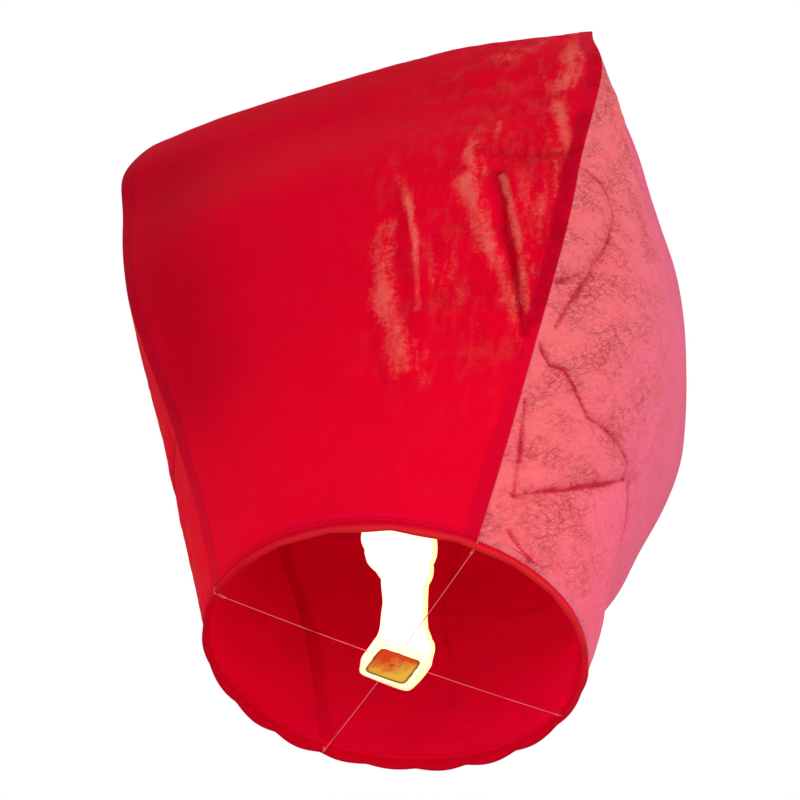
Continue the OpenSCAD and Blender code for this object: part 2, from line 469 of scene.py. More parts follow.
materials = {
    "paper": paperMaterial("tissuePaper", paper),
    "bamboo": bambooMaterial(bambooLook),
    "thread": threadMaterial(threadLook),
    "wire": wireMaterial(wireLook),
    "wax": waxedPaperMaterial(waxLook),
    "flameCore": flameCoreMaterial(flameLook),
    "flameVeil": flameVeilMaterial(flameLook),
}
print("stage: materials")


# Mesh helpers
def meshObject(name, vertices, faces, material, smooth=True):
    mesh = bpy.data.meshes.new(name)
    mesh.from_pydata([tuple(v) for v in vertices], [], faces)
    mesh.update()
    piece = bpy.data.objects.new(name, mesh)
    scene.collection.objects.link(piece)
    mesh.materials.append(material)
    if smooth:
        mesh.polygons.foreach_set("use_smooth", [True] * len(mesh.polygons))
    return piece


def gridFaces(rows, columns, closed=False):
    # faces of a grid of points, wound so that columns run right and rows run up
    faces = []
    for i in range(rows - 1):
        for j in range(columns if closed else columns - 1):
            a, b = i * columns + j, i * columns + (j + 1) % columns
            faces.append((a, b, b + columns, a + columns))
    return faces


def applyAll(piece):
    # turns the piece's modifiers into plain mesh
    graph = bpy.context.evaluated_depsgraph_get()
    mesh = bpy.data.meshes.new_from_object(piece.evaluated_get(graph))
    piece.modifiers.clear()
    old = piece.data
    piece.data = mesh
    if old.users == 0:
        bpy.data.meshes.remove(old)
    return piece


def recalc(piece, merge=0):
    # merges doubles where it is told to, and turns every face outwards
    mesh = bmesh.new()
    mesh.from_mesh(piece.data)
    if merge:
        bmesh.ops.remove_doubles(mesh, verts=mesh.verts, dist=merge)
    bmesh.ops.recalc_face_normals(mesh, faces=mesh.faces)
    mesh.to_mesh(piece.data)
    mesh.free()
    return piece


def newGeometryTree(name, inputs):
    # a geometry node tree with named inputs, and its incoming geometry and inputs as values
    tree = bpy.data.node_groups.new(name, "GeometryNodeTree")
    tree.interface.new_socket("Geometry", in_out="INPUT", socket_type="NodeSocketGeometry")
    for label, kind, value in inputs:
        socket = tree.interface.new_socket(label, in_out="INPUT", socket_type=kind)
        if value is not None:
            socket.default_value = value
    tree.interface.new_socket("Geometry", in_out="OUTPUT", socket_type="NodeSocketGeometry")
    start = tree.nodes.new("NodeGroupInput")
    values = {label: Value(tree, start.outputs[label]) for label, kind, value in inputs}
    return tree, Value(tree, start.outputs["Geometry"]), values


def finishGeometry(tree, shape, material):
    shape = makeNode(tree, "GeometryNodeSetShadeSmooth", {}, {"Geometry": shape})
    shape = makeNode(tree, "GeometryNodeRealizeInstances", {}, {"Geometry": shape})
    shape = makeNode(tree, "GeometryNodeSetMaterial", {}, {"Geometry": shape, "Material": material})
    makeNode(tree, "NodeGroupOutput", {}, {"Geometry": shape})


def sweepRound(tree, path, thick, sides):
    size = {"Resolution": sides, "Radius": thick / 2}
    ring = makeNode(tree, "GeometryNodeCurvePrimitiveCircle", {"mode": "RADIUS"}, size)
    return makeNode(
        tree, "GeometryNodeCurveToMesh", {}, {"Curve": path, "Profile Curve": ring, "Fill Caps": True}
    )


def runTree(name, tree, settings, points=((0, 0, 0),), edges=()):
    # makes a piece from a tree, with the modifier's inputs set by identifier, and leaves a plain mesh
    mesh = bpy.data.meshes.new(name)
    mesh.from_pydata([tuple(p) for p in points], list(edges), [])
    piece = bpy.data.objects.new(name, mesh)
    scene.collection.objects.link(piece)
    modifier = piece.modifiers.new("shape", "NODES")
    modifier.node_group = tree
    places = {item.name: item.identifier for item in tree.interface.items_tree if item.in_out == "INPUT"}
    for label, value in settings.items():
        modifier[places[label]] = value
    return applyAll(piece)


def smoothStep(x, low, high):
    u = np.clip((x - low) / (high - low), 0, 1)
    return u * u * (3 - 2 * u)


# Paper bag
hoopLow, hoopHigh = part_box("bamboo_hoop")
ridgeLow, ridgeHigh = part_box("ridge_seam")
frontLow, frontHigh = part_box("front_panel")

bag = {
    "levels": (0, 0.25, 0.5, 0.75, 0.9, 1),
    "widths": (0.398, 0.552, 0.622, 0.586),  # between the corner seams, from a quarter up
    "depths": (0.346, 0.426, 0.338, 0.188),
    "faceBulges": (0.060, 0.070, 0.026, 0.028),
    "sideBulges": (0.052, 0.033, -0.002, -0.035),
    "paper": 0.0005,
    "hemGap": 0.0003,
    "billow": 0.064,
    "calm": (0.03, 0.02, 0.012),  # how far the hoop, the ridge and the corner seams hold the paper flat
    "seamReach": 0.03,  # how far in from a seam the paper still moves with it
    "faceColumns": 170,
    "sideColumns": 140,
    "faceRows": 280,
    "sideRows": 330,
}
hoopRadius = (hoopHigh.y - hoopLow.y) / 2
hoopHalf = (hoopHigh.z - hoopLow.z) / 2
mouthRadius = hoopRadius + bag["hemGap"] + bag["paper"]
mouthHalf = mouthRadius / math.sqrt(2)
mouthBulge = mouthRadius - mouthHalf
bagFoot = hoopHalf + bag["hemGap"]
bagTop = frontHigh.z
lean = (ridgeLow.x + ridgeHigh.x) / 2
ridgeLength = ridgeHigh.x - ridgeLow.x
ridgeThick = ridgeHigh.y - ridgeLow.y

profiles = {
    "width": [mouthHalf, *[w / 2 for w in bag["widths"]], ridgeLength / 2],
    "depth": [mouthHalf, *[d / 2 for d in bag["depths"]], ridgeThick / 2],
    "face": [mouthBulge, *bag["faceBulges"], 0],
    "side": [mouthBulge, *bag["sideBulges"], 0],
}


def profileAt(name, s):
    # the smooth curve through a profile's sizes, the same as the design's
    x = np.array(bag["levels"], float)
    v = np.array(profiles[name], float)
    rise = np.diff(v) / np.diff(x)
    slope = np.zeros_like(v)
    slope[0], slope[-1] = rise[0], rise[-1]
    for i in range(1, len(v) - 1):
        if rise[i - 1] * rise[i] > 0:
            slope[i] = 2 / (1 / rise[i - 1] + 1 / rise[i])
    i = np.clip(np.searchsorted(x, s) - 1, 0, len(x) - 2)
    h = x[i + 1] - x[i]
    u = (s - x[i]) / h
    return (
        v[i] * (1 + 2 * u) * (1 - u) ** 2
        + v[i + 1] * u**2 * (3 - 2 * u)
        + h * slope[i] * u * (1 - u) ** 2
        - h * slope[i + 1] * u**2 * (1 - u)
    )


def arcPoint(chord, bulge, t):
    flat = np.abs(bulge) < 1e-5
    b = np.where(flat, 1e-5, bulge)
    r = (chord**2 + b**2) / (2 * b)
    a = np.arcsin(np.clip(chord / r, -1, 1)) * t
    return np.where(flat, chord * t, r * np.sin(a)), np.where(flat, 0, r * np.cos(a) - r + b)


def bagPoint(panel, s, t):
    # panel 0 front, 1 right, 2 back, 3 left; s runs up from 0 to 1 and t across from -1 to 1
    w, d = profileAt("width", s), profileAt("depth", s)
    if panel % 2 == 0:
        along, out = arcPoint(w, profileAt("face", s), t)
        out = out + d
    else:
        along, out = arcPoint(d, profileAt("side", s), t)
        out = out + w
    turn = math.radians(panel * 90 - 90)
    x = out * math.cos(turn) - along * math.sin(turn) + lean * s
    y = out * math.sin(turn) + along * math.cos(turn) + 4 * bag["billow"] * s * (1 - s)
    return np.stack([x, y, bagFoot + (bagTop - bagFoot) * s], -1)


def foldRow(push, reach, dark, *run):
    # a crease along a run of points (across, up); a push above zero stands out, and below zero is a valley;
    # dark sets the painted shade along it
    return {"push": push, "reach": reach, "dark": dark, "run": run}


def markRow(reach, strength, *run):
    # a soft mark along a run of points
    return {"reach": reach, "strength": strength, "run": run}


# Packing folds of each panel
folds = {
    0: [
        foldRow(-0.003, 0.010, 0.7, (0.79, 0.54), (0.88, 0.54), (0.98, 0.555)),
        foldRow(-0.006, 0.010, 0.5, (0.70, 0.51), (0.78, 0.40), (0.93, 0.28)),
        foldRow(0.006, 0.012, 0, (0.58, 0.50), (0.67, 0.41), (0.80, 0.34), (0.94, 0.26)),
        foldRow(0.003, 0.006, 0, (0.73, 0.50), (0.80, 0.42), (0.92, 0.31)),
        foldRow(0.004, 0.010, 0, (0.84, 0.52), (0.88, 0.46), (0.91, 0.40)),
        foldRow(0.005, 0.012, 0, (0.27, 0.40), (0.26, 0.35), (0.31, 0.30), (0.40, 0.22)),
        foldRow(0.002, 0.006, 0, (0.35, 0.46), (0.39, 0.41), (0.44, 0.30)),
        foldRow(-0.003, 0.012, 0.2, (0.20, 0.30), (0.24, 0.25), (0.30, 0.20)),
    ],
    1: [
        foldRow(
            -0.005, 0.012, 1.0,
            (-0.99, 0.525), (-0.92, 0.54), (-0.74, 0.545), (-0.62, 0.527), (-0.66, 0.48), (-0.72, 0.427)
        ),
        foldRow(-0.005, 0.012, 0.8, (-0.72, 0.427), (-0.81, 0.37), (-0.89, 0.31)),
        foldRow(-0.003, 0.010, 0.6, (-0.99, 0.355), (-0.87, 0.38), (-0.72, 0.427)),
        foldRow(
            -0.006, 0.012, 1.1,
            (-0.96, 0.275), (-0.86, 0.263), (-0.76, 0.27), (-0.67, 0.259), (-0.49, 0.24), (-0.26, 0.255)
        ),
        foldRow(-0.005, 0.008, 1.0, (-0.96, 0.20), (-0.91, 0.147), (-0.84, 0.082)),
        foldRow(-0.008, 0.012, 1.4, (-0.84, 0.082), (-0.49, 0.131), (-0.16, 0.19), (0.09, 0.242)),
        foldRow(-0.003, 0.010, 0.4, (0.09, 0.242), (-0.02, 0.255), (-0.26, 0.255)),
        foldRow(-0.005, 0.010, 0.7, (0.14, 0.246), (0.28, 0.21), (0.39, 0.163), (0.36, 0.106)),
        foldRow(0.005, 0.010, 0, (0.19, 0.38), (0.15, 0.30), (0.13, 0.25)),
        foldRow(-0.004, 0.009, 1.0, (-0.81, 0.033), (-0.72, 0.020), (-0.60, 0.010)),
        foldRow(0.004, 0.010, 0, (-0.84, 0.082), (-0.60, 0.05), (-0.44, 0.02)),
    ],
    2: [
        foldRow(0.005, 0.014, 0, (-0.70, 0.62), (-0.50, 0.40), (-0.62, 0.20)),
        foldRow(-0.004, 0.014, 0.6, (0.10, 0.55), (0.22, 0.30), (0.10, 0.10)),
        foldRow(-0.004, 0.012, 0.7, (0.90, 0.50), (0.40, 0.47), (-0.20, 0.49)),
        foldRow(-0.004, 0.012, 0.7, (-0.90, 0.30), (-0.30, 0.27), (0.20, 0.30)),
    ],
    3: [
        foldRow(-0.006, 0.016, 0.5, (0.00, 0.92), (0.03, 0.60), (0.00, 0.30)),
        foldRow(-0.004, 0.012, 0.8, (-0.95, 0.50), (-0.30, 0.44), (0.00, 0.47)),
        foldRow(-0.004, 0.012, 0.8, (0.00, 0.30), (0.50, 0.22), (0.95, 0.25)),
    ],
}
# Painted highlights along the raised crumples and streaks of the red paper
ridgeGlints = {
    0: [
        markRow(0.014, 0.85, (0.58, 0.48), (0.67, 0.41), (0.76, 0.36)),
        markRow(0.009, 1.0, (0.70, 0.39), (0.82, 0.33), (0.95, 0.255)),
        markRow(0.0045, 1.1, (0.715, 0.50), (0.80, 0.42), (0.92, 0.31)),
        markRow(0.015, 0.6, (0.79, 0.50), (0.85, 0.43), (0.90, 0.36)),
        markRow(0.008, 0.85, (0.84, 0.53), (0.88, 0.46), (0.90, 0.40)),
        markRow(0.007, 0.5, (0.90, 0.53), (0.93, 0.47)),
        markRow(0.013, 0.9, (0.29, 0.42), (0.26, 0.36), (0.27, 0.31)),
        markRow(0.015, 0.85, (0.24, 0.33), (0.33, 0.28), (0.39, 0.22)),
        markRow(0.008, 0.6, (0.33, 0.50), (0.37, 0.44)),
        markRow(0.0045, 0.85, (0.36, 0.46), (0.40, 0.40), (0.44, 0.30)),
        markRow(0.014, 0.45, (0.62, 0.50), (0.58, 0.54), (0.60, 0.60)),
        markRow(0.006, 0.5, (0.66, 0.62), (0.68, 0.54)),
        markRow(0.030, 0.35, (0.50, 0.38), (0.58, 0.31)),
        markRow(0.014, 0.4, (0.44, 0.26), (0.50, 0.20)),
        markRow(0.030, 0.5, (0.68, 0.82), (0.80, 0.90), (0.93, 0.90)),
        markRow(0.014, 0.75, (0.93, 0.95), (0.90, 0.82), (0.86, 0.70)),
        markRow(0.008, 0.6, (0.97, 0.84), (0.93, 0.76), (0.90, 0.70)),
        markRow(0.012, 0.85, (0.78, 0.74), (0.84, 0.66), (0.90, 0.61), (0.96, 0.56)),
        markRow(0.012, 0.6, (0.80, 0.62), (0.86, 0.57)),
        markRow(0.007, 0.6, (0.76, 0.58), (0.80, 0.55), (0.90, 0.555)),
    ],
}
# Painted shade in soft valleys on the front panel and along its right seam
valleys = [
    markRow(0.009, 1.0, (0.70, 0.50), (0.76, 0.42), (0.90, 0.31)),
    markRow(0.014, 0.75, (0.97, 0.62), (0.96, 0.45), (0.965, 0.30)),
    markRow(0.012, 0.6, (0.62, 0.545), (0.80, 0.53), (0.97, 0.56)),
    markRow(0.010, 0.5, (0.34, 0.47), (0.35, 0.38), (0.40, 0.27)),
]
# Painted shade: the broad dark place down the front panel's left side, and a weaker one under the ridge
dusk = {"across": -0.78, "reach": 0.32, "from": (0.10, 0.35), "to": (0.62, 0.95), "top": 0.35}
# Broad bulges and dents of the blown bag: (panel, across, up), push outwards from the bag's middle, reach
bulges = (
    ((0, -1.00, 0.88), 0.019, 0.080),
    ((0, -1.00, 0.76), 0.007, 0.050),
    ((0, -0.55, 0.93), 0.006, 0.060),
    ((0, 0.45, 0.92), 0.010, 0.080),
    ((0, 0.90, 0.92), 0.012, 0.070),
    ((1, -0.70, 0.75), 0.010, 0.055),
    ((1, 0.95, 0.90), 0.010, 0.060),
    ((1, 0.83, 0.14), -0.017, 0.045),
    ((3, 0.50, 0.24), 0.008, 0.090),
    ((3, 0.10, 0.70), -0.010, 0.080),
    ((2, 0.20, 0.60), 0.008, 0.100),
)
crumple = {
    "wave": 0.0030,  # slow billows over the whole sheet
    "waveSize": 0.22,
    "ripple": 0.0022,  # long wrinkles that run up the bag
    "rippleSize": 0.035,
    "rippleStretch": 6,
    "tissue": 0.0009,  # the crumpled feel of tissue
    "tissueSize": 0.013,
    "slowSize": 0.05,  # how fast a crease changes along its length
    "creaseWidth": 0.0026,
    "haloReach": 0.007,  # painted shade beside a crease
    "haloDark": 0.22,
    "lapWidth": 0.013,
    "lapEdge": 0.003,
    "lapStep": 0.0003,
    "seed": 7,
}


def fieldNoise(points, size, stretch=1, shift=0):
    # smooth noise in space, so that neighbouring panels move together along their seam
    scaled = points / size
    scaled[:, 2] /= stretch
    scaled += shift
    return np.array([noise.noise(Vector(p)) for p in scaled])


def distanceTo(run, panel, s, t):
    # metres on the sheet from each point to a run of straight pieces
    half = profileAt("width" if panel % 2 == 0 else "depth", s)
    tall = bagTop - bagFoot
    across, up = t * half, s * tall
    nearest = np.full(s.shape, 9.0)
    for (ta, sa), (tb, sb) in zip(run, run[1:]):
        ax, ay, bx, by = ta * half, sa * tall, tb * half, sb * tall
        dx, dy = bx - ax, by - ay
        u = np.clip(((across - ax) * dx + (up - ay) * dy) / (dx * dx + dy * dy + 1e-12), 0, 1)
        nearest = np.minimum(nearest, np.hypot(across - ax - u * dx, up - ay - u * dy))
    return nearest


def foldField(panel, s, t, jitter):
    # how far the folds push the sheet out, and the painted shade in and beside each crease
    push, crease = np.zeros_like(s), np.zeros_like(s)
    for f in folds[panel]:
        away = distanceTo(f["run"], panel, s, t)
        push += f["push"] * np.exp(-away / f["reach"])
        line = np.exp(-((away / (crumple["creaseWidth"] * (1 + 0.5 * jitter))) ** 2))
        line += crumple["haloDark"] * np.exp(-away / crumple["haloReach"])
        crease = np.maximum(crease, line * f["dark"] * (0.8 + 0.7 * jitter))
    return push, crease


def glintField(panel, s, t, jitter):
    # painted highlight along each run, strongest on its line
    worn = np.zeros_like(s)
    for r in ridgeGlints.get(panel, ()):
        away = distanceTo(r["run"], panel, s, t)
        worn = np.maximum(worn, r["strength"] * np.exp(-((away / r["reach"]) ** 2)) * (0.8 + 0.8 * jitter))
    return np.clip(worn, 0, 1)


def duskField(panel, s, t):
    # painted shade: broad darker places and soft valleys
    if panel != 0:
        return np.zeros_like(s)
    left = np.exp(-(((t - dusk["across"]) / dusk["reach"]) ** 2))
    left = left * smoothStep(s, *dusk["from"]) * (1 - smoothStep(s, *dusk["to"]))
    field = left + dusk["top"] * smoothStep(s, 0.55, 0.9) * (1 - smoothStep(t, 0.3, 0.8))
    for v in valleys:
        away = distanceTo(v["run"], panel, s, t)
        field = np.maximum(field, v["strength"] * np.exp(-((away / v["reach"]) ** 2)))
    return field


def bulgeField(points):
    # pushes shared by all the panels, so that they stay joined along their seams
    moved = points.copy()
    for (panel, t, s), push, reach in bulges:
        middle = bagPoint(panel, np.array(s), np.array(t))
        out = middle - np.array([lean * s, 4 * bag["billow"] * s * (1 - s), middle[2]])
        out /= np.linalg.norm(out)
        near = np.exp(-np.sum((points - middle) ** 2, -1) / (2 * reach**2))
        moved += push * near[..., None] * out
    return moved


def makePanel(panel, name, material):
    face = panel % 2 == 0
    columns = bag["faceColumns"] if face else bag["sideColumns"]
    rows = bag["faceRows"] if face else bag["sideRows"]
    t, s = np.meshgrid(np.linspace(-1, 1, columns), np.linspace(0, 1, rows))
    base = bagPoint(panel, s, t)
    height = s * (bagTop - bagFoot)
    fromTop = bagTop - bagFoot - height
    footCalm, topCalm, seamCalm = bag["calm"]
    fromEnds = smoothStep(height, 0.0, footCalm) * smoothStep(fromTop, 0.0, topCalm)
    base = base + (bulgeField(base) - base) * fromEnds[..., None]
    normal = np.cross(np.gradient(base, axis=1), np.gradient(base, axis=0))
    normal /= np.linalg.norm(normal, axis=-1, keepdims=True) + 1e-12
    half = profileAt("width" if face else "depth", s)
    fromSeam = (1 - np.abs(t)) * half
    inside = smoothStep(fromSeam, 0.0, seamCalm)
    flat = base.reshape(-1, 3)
    c = crumple
    wave = fieldNoise(flat.copy(), c["waveSize"], 1.5, c["seed"]).reshape(s.shape)
    ripple = fieldNoise(flat.copy(), c["rippleSize"], c["rippleStretch"], c["seed"] + 3).reshape(s.shape)
    tissue = fieldNoise(flat.copy(), c["tissueSize"], 1, c["seed"] + 9).reshape(s.shape)
    slow = fieldNoise(flat.copy(), c["slowSize"], 1, c["seed"] + 5).reshape(s.shape)
    push, crease = foldField(panel, s, t, slow)
    # the right half of the front and the sides are crumpled, and the rest is drawn smooth
    crumpled = crumpledShare(panel, s, t)
    # along a seam both panels move straight out from the bag's middle, so that the seam stays shut
    inward = smoothStep(fromSeam, 0.0, bag["seamReach"])
    radial = base - np.stack([lean * s, 4 * bag["billow"] * s * (1 - s), base[..., 2]], -1)
    radial /= np.linalg.norm(radial, axis=-1, keepdims=True) + 1e-12
    normal = normal * inward[..., None] + radial * (1 - inward[..., None])
    normal /= np.linalg.norm(normal, axis=-1, keepdims=True) + 1e-12
    share = 0.3 + (crumpled - 0.3) * inward
    move = c["wave"] * wave + c["ripple"] * ripple * (0.2 + share)
    move = move + c["tissue"] * tissue * (0.15 + share) * inward
    lapWidth = c["lapWidth"] * (0.9 + 0.5 * s + 0.25 * ripple) if face else np.zeros_like(s)
    lap = (1 - smoothStep(fromSeam, lapWidth, lapWidth + c["lapEdge"])) if face else np.zeros_like(s)
    move = move * fromEnds + (push * fromEnds + lap * c["lapStep"]) * inside
    points = base + normal * move[..., None]
    piece = meshObject(name, points.reshape(-1, 3), gridFaces(rows, columns), material)
    # painted light on the lit right side: warm beside the front, cooler towards the back
    cool = smoothStep(t, -0.9, 0.5)
    worn, dark = glintField(panel, s, t, ripple), duskField(panel, s, t)
    fields = {"fold": crease, "lap": lap, "worn": worn, "crumpled": crumpled, "cool": cool, "dusk": dark}
    for key, values in fields.items():
        addValues(piece, key, values)
    addUv(piece, t * half, height)
    thick = piece.modifiers.new("paper", "SOLIDIFY")
    thick.thickness = bag["paper"]
    thick.offset = -1
    applyAll(piece)
    # painted light: the right side's outer face is paler where the lamp falls; the marks hardly show on the
    # inner face
    count = len(piece.data.vertices)
    outer = (np.arange(count) < s.size).astype(float)
    addValues(piece, "faded", outer * (panel == 1))
    addValues(piece, "inner", 1 - outer)
    for key, innerShare in (("lap", 0.15), ("fold", 0.4), ("worn", 0.0), ("crumpled", 0.3)):
        values = np.zeros(count, np.float32)
        layer = piece.data.attributes[key].data
        layer.foreach_get("value", values)
        layer.foreach_set("value", (values * (outer + innerShare * (1 - outer))).astype(np.float32))
    return piece


def crumpledShare(panel, s, t):
    # the front's right half and the right panel's front half are crumpled most
    if panel == 0:
        return 0.05 + smoothStep(t, 0.0, 0.7) * smoothStep(s, 0.12, 0.34) * 0.6
    if panel == 1:
        return 1 - 0.7 * smoothStep(t, -0.35, 0.35)
    return 0.55 + 0 * s


def addValues(piece, key, values):
    layer = piece.data.attributes.new(key, "FLOAT", "POINT")
    layer.data.foreach_set("value", np.asarray(values, np.float32).ravel())


def addUv(piece, across, up):
    # a flat layout of the sheet, in metres
    uv = piece.data.uv_layers.new(name="sheet")
    spots = np.stack([across.ravel(), up.ravel()], -1)
    loops = np.zeros(len(piece.data.loops), np.int32)
    piece.data.loops.foreach_get("vertex_index", loops)
    uv.data.foreach_set("uv", spots[loops].astype(np.float32).ravel())


panelNames = {0: "front", 1: "right", 2: "back", 3: "left"}
panels = {}
for number, side in panelNames.items():
    panels[number] = makePanel(number, side + "Sheet", materials["paper"])
print("stage: paper bag")

# Hem
hem = {
    "strip": 0.0025,  # thickness of the bamboo inside it
    "slack": 0.0007,
    "up": 0.014,  # height of the turned-up edge inside
    "lobes": 21,  # puckers between glue spots
    "sag": 0.0042,
    "swell": 0.0016,
    "columns": 120,
    # painted highlight along the lip, centred towards the front and the right
    "paleLip": 0.6,
    "paleMiddle": -42,  # degrees from +X
    "paleReach": 75,
}


def hemProfile():
    # (distance in from the bag's outside, height, how much a pucker moves it)
    low = hoopHalf + bag["hemGap"]
    deep = hem["strip"] + 2 * (bag["hemGap"] + bag["paper"]) + hem["slack"]
    return [
        (0.0008, hem["up"], 0.0),
        (0.0024, 0.0085, 0.0),
        (deep, 0.0042, 0.1),
        (deep + 0.0003, 0.001, 0.3),
        (deep + 0.0001, -low, 0.7),
        (deep - 0.0010, -low - 0.0006, 1.0),
        (deep / 2, -low - 0.0009, 1.0),
        (0.0007, -low - 0.0006, 1.0),
        (-0.0005, -low + 0.0006, 0.9),
        (-0.0005, -0.0008, 0.45),
        (0.0, bagFoot, 0.0),
    ]


def makeHem(panel, name, material):
    columns = hem["columns"]
    angles = np.radians(panel * 90 - 90 + np.linspace(-45, 45, columns))
    lobe = np.abs(np.sin(angles * hem["lobes"] / 2 + 0.4 * np.sin(angles * 3)))
    lobe = lobe * (0.75 + 0.25 * np.sin(angles * 5 + 1))
    rows = []
    for inset, z, share in hemProfile():
        radius = mouthRadius - inset + share * hem["swell"] * lobe * (1 if inset < 0.002 else 0.2)
        rows.append(
            np.stack([radius * np.cos(angles), radius * np.sin(angles), z - share * hem["sag"] * lobe], -1)
        )
    points = np.array(rows)
    faces = gridFaces(len(rows), columns)
    piece = meshObject(name, points.reshape(-1, 3), faces, material)
    lip = [share for inset, z, share in hemProfile()]
    # painted highlight on the lip round the front and the right
    away = (np.degrees(angles) - hem["paleMiddle"] + 180) % 360 - 180
    nearSide = np.exp(-((away / hem["paleReach"]) ** 4))
    addValues(piece, "lip", np.outer(np.array(lip) ** 2, nearSide) * hem["paleLip"])
    inner = [1 if k < 2 else 0 for k in range(len(rows))]
    addValues(piece, "inner", np.repeat(np.array(inner), columns))
    addValues(piece, "crumpled", np.full(len(rows) * columns, 0.05))
    smooth = piece.modifiers.new("round", "SUBSURF")
    smooth.levels = smooth.render_levels = 1
    smooth.boundary_smooth = "PRESERVE_CORNERS"
    thick = piece.modifiers.new("paper", "SOLIDIFY")
    thick.thickness = bag["paper"]
    thick.offset = -1
    return applyAll(piece)


hems = {}
for number, side in panelNames.items():
    hems[number] = makeHem(number, side + "Hem", materials["paper"])
print("stage: hem")

# Ridge seam
ridge = {
    "thick": 0.0021,
    "tuck": 0.0008,  # how far it reaches down between the panels
    "ripple": 0.0003,
    "ripples": 95,
    "ends": 0.004,  # how much the ends curl down
    "curl": 40,  # higher for a shorter curl
    "columns": 220,
    "rows": 8,
}


def makeRidge(material):
    r = ridge
    u, v = np.meshgrid(np.linspace(0, 1, r["columns"]), np.linspace(0, 1, r["rows"]))
    top = ridgeHigh.z - r["ends"] * (np.exp(-u * r["curl"]) + np.exp(-(1 - u) * r["curl"]))
    x = ridgeLow.x + u * ridgeLength
    foot = ridgeLow.z - r["tuck"]
    z = foot + v * (top - foot)
    y = r["ripple"] * v * np.sin(u * r["ripples"] + 2 * np.sin(u * 17))
    points = np.stack([x, y, z], -1).reshape(-1, 3)
    piece = meshObject("ridgeSeam", points, gridFaces(r["rows"], r["columns"]), material)
    thick = piece.modifiers.new("layers", "SOLIDIFY")
    thick.thickness = r["thick"]
    thick.offset = 0
    return applyAll(piece)


ridgeSeam = makeRidge(materials["paper"])
print("stage: ridge")

# Wires
wires = {
    "thick": 0.0009,
    "sides": 12,
    "hookHalf": 0.0026,  # from the middle of the bamboo to the wire, across and up
    "hookUp": 0.0042,
    "tipUp": 0.0018,
    "tipAside": 0.0004,
    "flatHalf": 0.030,  # half of the straight stretch in the fuel cell
    "sagPower": 1.6,
    "spans": 24,
    "turns": 4,  # of the tail round the wire
    "pitch": 0.0011,
    "tailStart": 0.003,
    "turnSteps": 14,
}


def smoothPath(points, rounds=3):
    # cuts the corners of a path until it is smooth
    for _ in range(rounds):
        new = [points[0]]
        for a, b in zip(points, points[1:]):
            new += [a.lerp(b, 0.25), a.lerp(b, 0.75)]
        points = new + [points[-1]]
    return points


def roundWireTree(material):
    # sweeps a round section along the edges it is given
    tree, path, values = newGeometryTree("roundWire", (("Thickness", "NodeSocketFloat", 0.001),))
    curve = makeNode(tree, "GeometryNodeMeshToCurve", {}, {"Mesh": path})
    finishGeometry(tree, sweepRound(tree, curve, values["Thickness"], wires["sides"]), material)
    return tree


def tubeAlong(name, points, thick):
    edges = [(i, i + 1) for i in range(len(points) - 1)]
    return runTree(name, wireTree, {"Thickness": thick}, points, edges)


wireTree = roundWireTree(materials["wire"])


def makeWire(name, node, turn):
    w = wires
    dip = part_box(node)[0].z + w["thick"] / 2
    ring = hoopRadius - hem["strip"] / 2
    across, up = w["hookHalf"], w["hookUp"]
    start = Vector((ring - across, 0, -up))
    end = Vector((w["flatHalf"], 0, dip))
    along = (end - start).normalized()
    side = Vector((0, 1, 0))
    other = along.cross(side)
    half = []
    # the tail winds round the wire, then the wire hooks over the hoop and runs to the fuel cell
    for i in range(w["turns"] * w["turnSteps"], -1, -1):
        a = 2 * math.pi * i / w["turnSteps"]
        spot = start + along * (w["tailStart"] + w["pitch"] * i / w["turnSteps"])
        half.append(spot + w["thick"] * (math.cos(a) * other + math.sin(a) * side) * -1)
    corners = [(-across, w["tipUp"] - up), (-across, up), (across, up), (across, -up), (-across, -up)]
    hook = [Vector((ring + x, 0, z)) for x, z in corners]
    hook[0].y = w["tipAside"]
    half += smoothPath(hook, 2)
    for i in range(1, w["spans"] + 1):
        u = i / w["spans"]
        spot = start.lerp(end, u)
        spot.z = start.z + (end.z - start.z) * (1 - (1 - u) ** w["sagPower"])
        half.append(spot)
    far = [Vector((-p.x, -p.y, p.z)) for p in reversed(half)]
    turned = Matrix.Rotation(math.radians(turn), 3, "Z")
    return tubeAlong(name, [turned @ p for p in half + far], w["thick"])


wireA = makeWire("crossWireA", "cross_wire_a", 45)
wireB = makeWire("crossWireB", "cross_wire_b", -45)
print("stage: wires")

# Tie wire through the fuel cell
tie = {
    "thick": 0.0007,
    "leg": 0.0016,  # from the middle of the cell to a leg
    "bend": 1.8,  # where the bar starts to turn down, in legs
    "twist": 0.0021,  # length of one turn of the tail
    "tail": 0.0075,
    "drop": 0.0026,
    "strandGap": 0.52,  # from the tail's middle to a strand's, in thicknesses
    "flare": 0.0016,
    "flareFrom": 0.85,
    "steps": 60,
}


